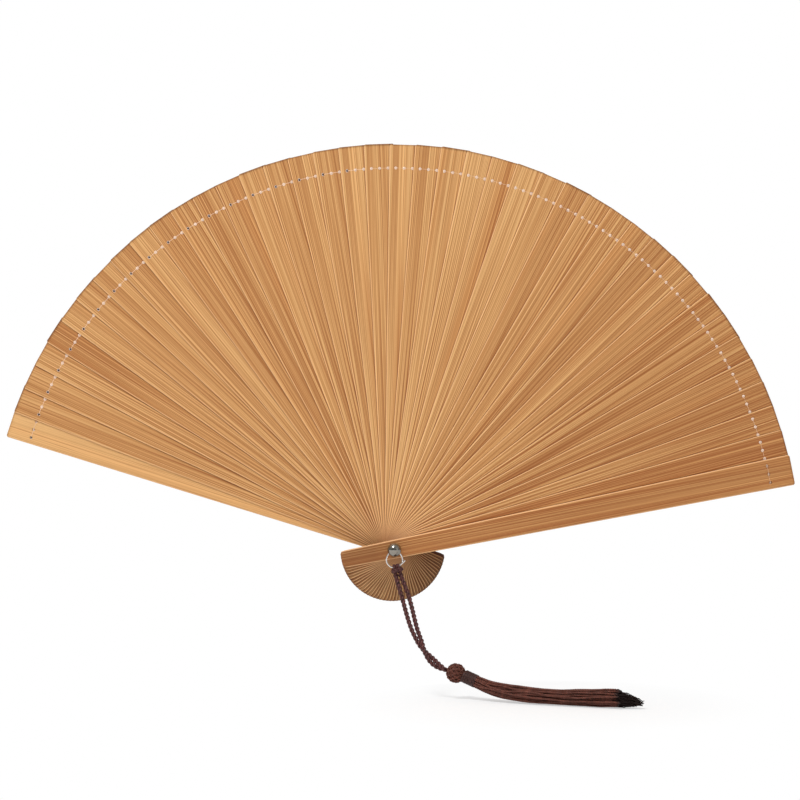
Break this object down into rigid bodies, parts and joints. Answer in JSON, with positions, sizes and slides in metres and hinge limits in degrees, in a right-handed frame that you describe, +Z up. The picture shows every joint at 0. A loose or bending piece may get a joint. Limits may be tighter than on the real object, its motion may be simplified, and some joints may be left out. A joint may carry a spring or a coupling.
{
  "type": "folding fan",
  "caption": "Open folding fan of thin overlapping bamboo leaves between two guards on one rivet, with a rim thread, hanging ring, cord and tassel.",
  "frame": {"origin": "on the rivet's axis, midway through the stack of sticks, where a stand's slot or a hand holds the fan", "axes": "+Z up as the open fan is displayed, -Y out of the front, +X to the right seen from the front"},
  "size_m": [0.3956, 0.0927, 0.275],
  "materials": {
    "leaf_bamboo": "thin split splints, fine straight fibres along the leaf, satin",
    "guard_bamboo": "planed splint with broad lengthwise grain, satin",
    "rivet_nickel": "bright nickel plating",
    "ring_steel": "bright drawn wire",
    "thread_cotton": "fine off-white thread",
    "cord_silk": "twisted two-ply cord, soft sheen",
    "tassel_silk": "many fine twisted threads, soft sheen, darker tips"
  },
  "bodies": {
    "rivet": {"rivet_post": "rivet_nickel", "rivet_cap": "rivet_nickel", "front_washer": "rivet_nickel", "back_washer": "rivet_nickel"},
    "ring": {"hanging_ring": "ring_steel"},
    "cord": {"cord_hitch": "cord_silk", "cord_left": "cord_silk", "cord_right": "cord_silk"},
    "tassel": {"tassel_head_knot": "tassel_silk", "tassel_neck_binding": "tassel_silk", "tassel_skirt": "tassel_silk"},
    "back_guard_body": {"back_guard": "guard_bamboo", "thread_knot_back": "thread_cotton"},
    "leaf_01_body": {"leaf_01": "leaf_bamboo"},
    "leaf_02_body": {"leaf_02": "leaf_bamboo"},
    "leaf_03_body": {"leaf_03": "leaf_bamboo"},
    "leaf_04_body": {"leaf_04": "leaf_bamboo"},
    "leaf_05_body": {"leaf_05": "leaf_bamboo"},
    "leaf_06_body": {"leaf_06": "leaf_bamboo"},
    "leaf_07_body": {"leaf_07": "leaf_bamboo"},
    "leaf_08_body": {"leaf_08": "leaf_bamboo"},
    "leaf_09_body": {"leaf_09": "leaf_bamboo"},
    "leaf_10_body": {"leaf_10": "leaf_bamboo"},
    "leaf_11_body": {"leaf_11": "leaf_bamboo"},
    "leaf_12_body": {"leaf_12": "leaf_bamboo"},
    "leaf_13_body": {"leaf_13": "leaf_bamboo"},
    "leaf_14_body": {"leaf_14": "leaf_bamboo"},
    "leaf_15_body": {"leaf_15": "leaf_bamboo"},
    "leaf_16_body": {"leaf_16": "leaf_bamboo"},
    "leaf_17_body": {"leaf_17": "leaf_bamboo"},
    "leaf_18_body": {"leaf_18": "leaf_bamboo"},
    "leaf_19_body": {"leaf_19": "leaf_bamboo"},
    "leaf_20_body": {"leaf_20": "leaf_bamboo"},
    "leaf_21_body": {"leaf_21": "leaf_bamboo"},
    "leaf_22_body": {"leaf_22": "leaf_bamboo"},
    "leaf_23_body": {"leaf_23": "leaf_bamboo"},
    "leaf_24_body": {"leaf_24": "leaf_bamboo"},
    "leaf_25_body": {"leaf_25": "leaf_bamboo"},
    "leaf_26_body": {"leaf_26": "leaf_bamboo"},
    "leaf_27_body": {"leaf_27": "leaf_bamboo"},
    "leaf_28_body": {"leaf_28": "leaf_bamboo"},
    "leaf_29_body": {"leaf_29": "leaf_bamboo"},
    "leaf_30_body": {"leaf_30": "leaf_bamboo"},
    "leaf_31_body": {"leaf_31": "leaf_bamboo"},
    "leaf_32_body": {"leaf_32": "leaf_bamboo"},
    "leaf_33_body": {"leaf_33": "leaf_bamboo"},
    "leaf_34_body": {"leaf_34": "leaf_bamboo"},
    "leaf_35_body": {"leaf_35": "leaf_bamboo"},
    "leaf_36_body": {"leaf_36": "leaf_bamboo"},
    "leaf_37_body": {"leaf_37": "leaf_bamboo"},
    "leaf_38_body": {"leaf_38": "leaf_bamboo"},
    "leaf_39_body": {"leaf_39": "leaf_bamboo"},
    "leaf_40_body": {"leaf_40": "leaf_bamboo"},
    "front_guard_body": {"front_guard": "guard_bamboo", "thread_knot_front": "thread_cotton"}
  },
  "joints": [
    {"name": "fan_fold", "type": "hinge", "parent": "rivet", "child": "front_guard_body", "pos_m": [0, 0, 0], "axis": [0, -1, 0], "range_deg": [0, 75.35]},
    {"name": "back_guard_turn", "type": "hinge", "parent": "rivet", "child": "back_guard_body", "pos_m": [0, 0, 0], "axis": [0, -1, 0], "range_deg": [-75.36, 0]},
    {"name": "leaf_01_turn", "type": "hinge", "parent": "rivet", "child": "leaf_01_body", "pos_m": [0, 0, 0], "axis": [0, -1, 0], "range_deg": [-71.68, 0]},
    {"name": "leaf_02_turn", "type": "hinge", "parent": "rivet", "child": "leaf_02_body", "pos_m": [0, 0, 0], "axis": [0, -1, 0], "range_deg": [-68.01, 0]},
    {"name": "leaf_03_turn", "type": "hinge", "parent": "rivet", "child": "leaf_03_body", "pos_m": [0, 0, 0], "axis": [0, -1, 0], "range_deg": [-64.33, 0]},
    {"name": "leaf_04_turn", "type": "hinge", "parent": "rivet", "child": "leaf_04_body", "pos_m": [0, 0, 0], "axis": [0, -1, 0], "range_deg": [-60.66, 0]},
    {"name": "leaf_05_turn", "type": "hinge", "parent": "rivet", "child": "leaf_05_body", "pos_m": [0, 0, 0], "axis": [0, -1, 0], "range_deg": [-56.98, 0]},
    {"name": "leaf_06_turn", "type": "hinge", "parent": "rivet", "child": "leaf_06_body", "pos_m": [0, 0, 0], "axis": [0, -1, 0], "range_deg": [-53.31, 0]},
    {"name": "leaf_07_turn", "type": "hinge", "parent": "rivet", "child": "leaf_07_body", "pos_m": [0, 0, 0], "axis": [0, -1, 0], "range_deg": [-49.63, 0]},
    {"name": "leaf_08_turn", "type": "hinge", "parent": "rivet", "child": "leaf_08_body", "pos_m": [0, 0, 0], "axis": [0, -1, 0], "range_deg": [-45.95, 0]},
    {"name": "leaf_09_turn", "type": "hinge", "parent": "rivet", "child": "leaf_09_body", "pos_m": [0, 0, 0], "axis": [0, -1, 0], "range_deg": [-42.28, 0]},
    {"name": "leaf_10_turn", "type": "hinge", "parent": "rivet", "child": "leaf_10_body", "pos_m": [0, 0, 0], "axis": [0, -1, 0], "range_deg": [-38.6, 0]},
    {"name": "leaf_11_turn", "type": "hinge", "parent": "rivet", "child": "leaf_11_body", "pos_m": [0, 0, 0], "axis": [0, -1, 0], "range_deg": [-34.93, 0]},
    {"name": "leaf_12_turn", "type": "hinge", "parent": "rivet", "child": "leaf_12_body", "pos_m": [0, 0, 0], "axis": [0, -1, 0], "range_deg": [-31.25, 0]},
    {"name": "leaf_13_turn", "type": "hinge", "parent": "rivet", "child": "leaf_13_body", "pos_m": [0, 0, 0], "axis": [0, -1, 0], "range_deg": [-27.58, 0]},
    {"name": "leaf_14_turn", "type": "hinge", "parent": "rivet", "child": "leaf_14_body", "pos_m": [0, 0, 0], "axis": [0, -1, 0], "range_deg": [-23.9, 0]},
    {"name": "leaf_15_turn", "type": "hinge", "parent": "rivet", "child": "leaf_15_body", "pos_m": [0, 0, 0], "axis": [0, -1, 0], "range_deg": [-20.23, 0]},
    {"name": "leaf_16_turn", "type": "hinge", "parent": "rivet", "child": "leaf_16_body", "pos_m": [0, 0, 0], "axis": [0, -1, 0], "range_deg": [-16.55, 0]},
    {"name": "leaf_17_turn", "type": "hinge", "parent": "rivet", "child": "leaf_17_body", "pos_m": [0, 0, 0], "axis": [0, -1, 0], "range_deg": [-12.88, 0]},
    {"name": "leaf_18_turn", "type": "hinge", "parent": "rivet", "child": "leaf_18_body", "pos_m": [0, 0, 0], "axis": [0, -1, 0], "range_deg": [-9.2, 0]},
    {"name": "leaf_19_turn", "type": "hinge", "parent": "rivet", "child": "leaf_19_body", "pos_m": [0, 0, 0], "axis": [0, -1, 0], "range_deg": [-5.52, 0]},
    {"name": "leaf_20_turn", "type": "hinge", "parent": "rivet", "child": "leaf_20_body", "pos_m": [0, 0, 0], "axis": [0, -1, 0], "range_deg": [-1.85, 0]},
    {"name": "leaf_21_turn", "type": "hinge", "parent": "rivet", "child": "leaf_21_body", "pos_m": [0, 0, 0], "axis": [0, -1, 0], "range_deg": [0, 1.85]},
    {"name": "leaf_22_turn", "type": "hinge", "parent": "rivet", "child": "leaf_22_body", "pos_m": [0, 0, 0], "axis": [0, -1, 0], "range_deg": [0, 5.52]},
    {"name": "leaf_23_turn", "type": "hinge", "parent": "rivet", "child": "leaf_23_body", "pos_m": [0, 0, 0], "axis": [0, -1, 0], "range_deg": [0, 9.2]},
    {"name": "leaf_24_turn", "type": "hinge", "parent": "rivet", "child": "leaf_24_body", "pos_m": [0, 0, 0], "axis": [0, -1, 0], "range_deg": [0, 12.88]},
    {"name": "leaf_25_turn", "type": "hinge", "parent": "rivet", "child": "leaf_25_body", "pos_m": [0, 0, 0], "axis": [0, -1, 0], "range_deg": [0, 16.55]},
    {"name": "leaf_26_turn", "type": "hinge", "parent": "rivet", "child": "leaf_26_body", "pos_m": [0, 0, 0], "axis": [0, -1, 0], "range_deg": [0, 20.23]},
    {"name": "leaf_27_turn", "type": "hinge", "parent": "rivet", "child": "leaf_27_body", "pos_m": [0, 0, 0], "axis": [0, -1, 0], "range_deg": [0, 23.9]},
    {"name": "leaf_28_turn", "type": "hinge", "parent": "rivet", "child": "leaf_28_body", "pos_m": [0, 0, 0], "axis": [0, -1, 0], "range_deg": [0, 27.58]},
    {"name": "leaf_29_turn", "type": "hinge", "parent": "rivet", "child": "leaf_29_body", "pos_m": [0, 0, 0], "axis": [0, -1, 0], "range_deg": [0, 31.25]},
    {"name": "leaf_30_turn", "type": "hinge", "parent": "rivet", "child": "leaf_30_body", "pos_m": [0, 0, 0], "axis": [0, -1, 0], "range_deg": [0, 34.93]},
    {"name": "leaf_31_turn", "type": "hinge", "parent": "rivet", "child": "leaf_31_body", "pos_m": [0, 0, 0], "axis": [0, -1, 0], "range_deg": [0, 38.6]},
    {"name": "leaf_32_turn", "type": "hinge", "parent": "rivet", "child": "leaf_32_body", "pos_m": [0, 0, 0], "axis": [0, -1, 0], "range_deg": [0, 42.28]},
    {"name": "leaf_33_turn", "type": "hinge", "parent": "rivet", "child": "leaf_33_body", "pos_m": [0, 0, 0], "axis": [0, -1, 0], "range_deg": [0, 45.95]},
    {"name": "leaf_34_turn", "type": "hinge", "parent": "rivet", "child": "leaf_34_body", "pos_m": [0, 0, 0], "axis": [0, -1, 0], "range_deg": [0, 49.63]},
    {"name": "leaf_35_turn", "type": "hinge", "parent": "rivet", "child": "leaf_35_body", "pos_m": [0, 0, 0], "axis": [0, -1, 0], "range_deg": [0, 53.31]},
    {"name": "leaf_36_turn", "type": "hinge", "parent": "rivet", "child": "leaf_36_body", "pos_m": [0, 0, 0], "axis": [0, -1, 0], "range_deg": [0, 56.98]},
    {"name": "leaf_37_turn", "type": "hinge", "parent": "rivet", "child": "leaf_37_body", "pos_m": [0, 0, 0], "axis": [0, -1, 0], "range_deg": [0, 60.66]},
    {"name": "leaf_38_turn", "type": "hinge", "parent": "rivet", "child": "leaf_38_body", "pos_m": [0, 0, 0], "axis": [0, -1, 0], "range_deg": [0, 64.33]},
    {"name": "leaf_39_turn", "type": "hinge", "parent": "rivet", "child": "leaf_39_body", "pos_m": [0, 0, 0], "axis": [0, -1, 0], "range_deg": [0, 68.01]},
    {"name": "leaf_40_turn", "type": "hinge", "parent": "rivet", "child": "leaf_40_body", "pos_m": [0, 0, 0], "axis": [0, -1, 0], "range_deg": [0, 71.68]},
    {"name": "ring_swing", "type": "hinge", "parent": "rivet", "child": "ring", "pos_m": [0, -0.01706, -0.0008], "axis": [1, 0, 0], "range_deg": [-35, 0]},
    {"name": "cord_swing", "type": "hinge", "parent": "ring", "child": "cord", "pos_m": [0, -0.01706, -0.0048], "axis": [0, -1, 0], "range_deg": [0, 60]},
    {"name": "tassel_swing", "type": "hinge", "parent": "cord", "child": "tassel", "pos_m": [0.0296, -0.0345, -0.0592], "axis": [0, -1, 0], "range_deg": [0, 50]}
  ],
  "couplings": [
    {"joint": "back_guard_turn", "follows": "fan_fold", "ratio": -1},
    {"joint": "leaf_01_turn", "follows": "fan_fold", "ratio": -0.95122},
    {"joint": "leaf_02_turn", "follows": "fan_fold", "ratio": -0.90244},
    {"joint": "leaf_03_turn", "follows": "fan_fold", "ratio": -0.85366},
    {"joint": "leaf_04_turn", "follows": "fan_fold", "ratio": -0.80488},
    {"joint": "leaf_05_turn", "follows": "fan_fold", "ratio": -0.7561},
    {"joint": "leaf_06_turn", "follows": "fan_fold", "ratio": -0.70732},
    {"joint": "leaf_07_turn", "follows": "fan_fold", "ratio": -0.65854},
    {"joint": "leaf_08_turn", "follows": "fan_fold", "ratio": -0.60976},
    {"joint": "leaf_09_turn", "follows": "fan_fold", "ratio": -0.56098},
    {"joint": "leaf_10_turn", "follows": "fan_fold", "ratio": -0.51219},
    {"joint": "leaf_11_turn", "follows": "fan_fold", "ratio": -0.46342},
    {"joint": "leaf_12_turn", "follows": "fan_fold", "ratio": -0.41463},
    {"joint": "leaf_13_turn", "follows": "fan_fold", "ratio": -0.36585},
    {"joint": "leaf_14_turn", "follows": "fan_fold", "ratio": -0.31707},
    {"joint": "leaf_15_turn", "follows": "fan_fold", "ratio": -0.26829},
    {"joint": "leaf_16_turn", "follows": "fan_fold", "ratio": -0.21951},
    {"joint": "leaf_17_turn", "follows": "fan_fold", "ratio": -0.17073},
    {"joint": "leaf_18_turn", "follows": "fan_fold", "ratio": -0.12195},
    {"joint": "leaf_19_turn", "follows": "fan_fold", "ratio": -0.073171},
    {"joint": "leaf_20_turn", "follows": "fan_fold", "ratio": -0.02439},
    {"joint": "leaf_21_turn", "follows": "fan_fold", "ratio": 0.02439},
    {"joint": "leaf_22_turn", "follows": "fan_fold", "ratio": 0.073171},
    {"joint": "leaf_23_turn", "follows": "fan_fold", "ratio": 0.12195},
    {"joint": "leaf_24_turn", "follows": "fan_fold", "ratio": 0.17073},
    {"joint": "leaf_25_turn", "follows": "fan_fold", "ratio": 0.21951},
    {"joint": "leaf_26_turn", "follows": "fan_fold", "ratio": 0.26829},
    {"joint": "leaf_27_turn", "follows": "fan_fold", "ratio": 0.31707},
    {"joint": "leaf_28_turn", "follows": "fan_fold", "ratio": 0.36585},
    {"joint": "leaf_29_turn", "follows": "fan_fold", "ratio": 0.41463},
    {"joint": "leaf_30_turn", "follows": "fan_fold", "ratio": 0.46342},
    {"joint": "leaf_31_turn", "follows": "fan_fold", "ratio": 0.51219},
    {"joint": "leaf_32_turn", "follows": "fan_fold", "ratio": 0.56098},
    {"joint": "leaf_33_turn", "follows": "fan_fold", "ratio": 0.60976},
    {"joint": "leaf_34_turn", "follows": "fan_fold", "ratio": 0.65854},
    {"joint": "leaf_35_turn", "follows": "fan_fold", "ratio": 0.70732},
    {"joint": "leaf_36_turn", "follows": "fan_fold", "ratio": 0.7561},
    {"joint": "leaf_37_turn", "follows": "fan_fold", "ratio": 0.80488},
    {"joint": "leaf_38_turn", "follows": "fan_fold", "ratio": 0.85366},
    {"joint": "leaf_39_turn", "follows": "fan_fold", "ratio": 0.90244},
    {"joint": "leaf_40_turn", "follows": "fan_fold", "ratio": 0.95122}
  ]
}
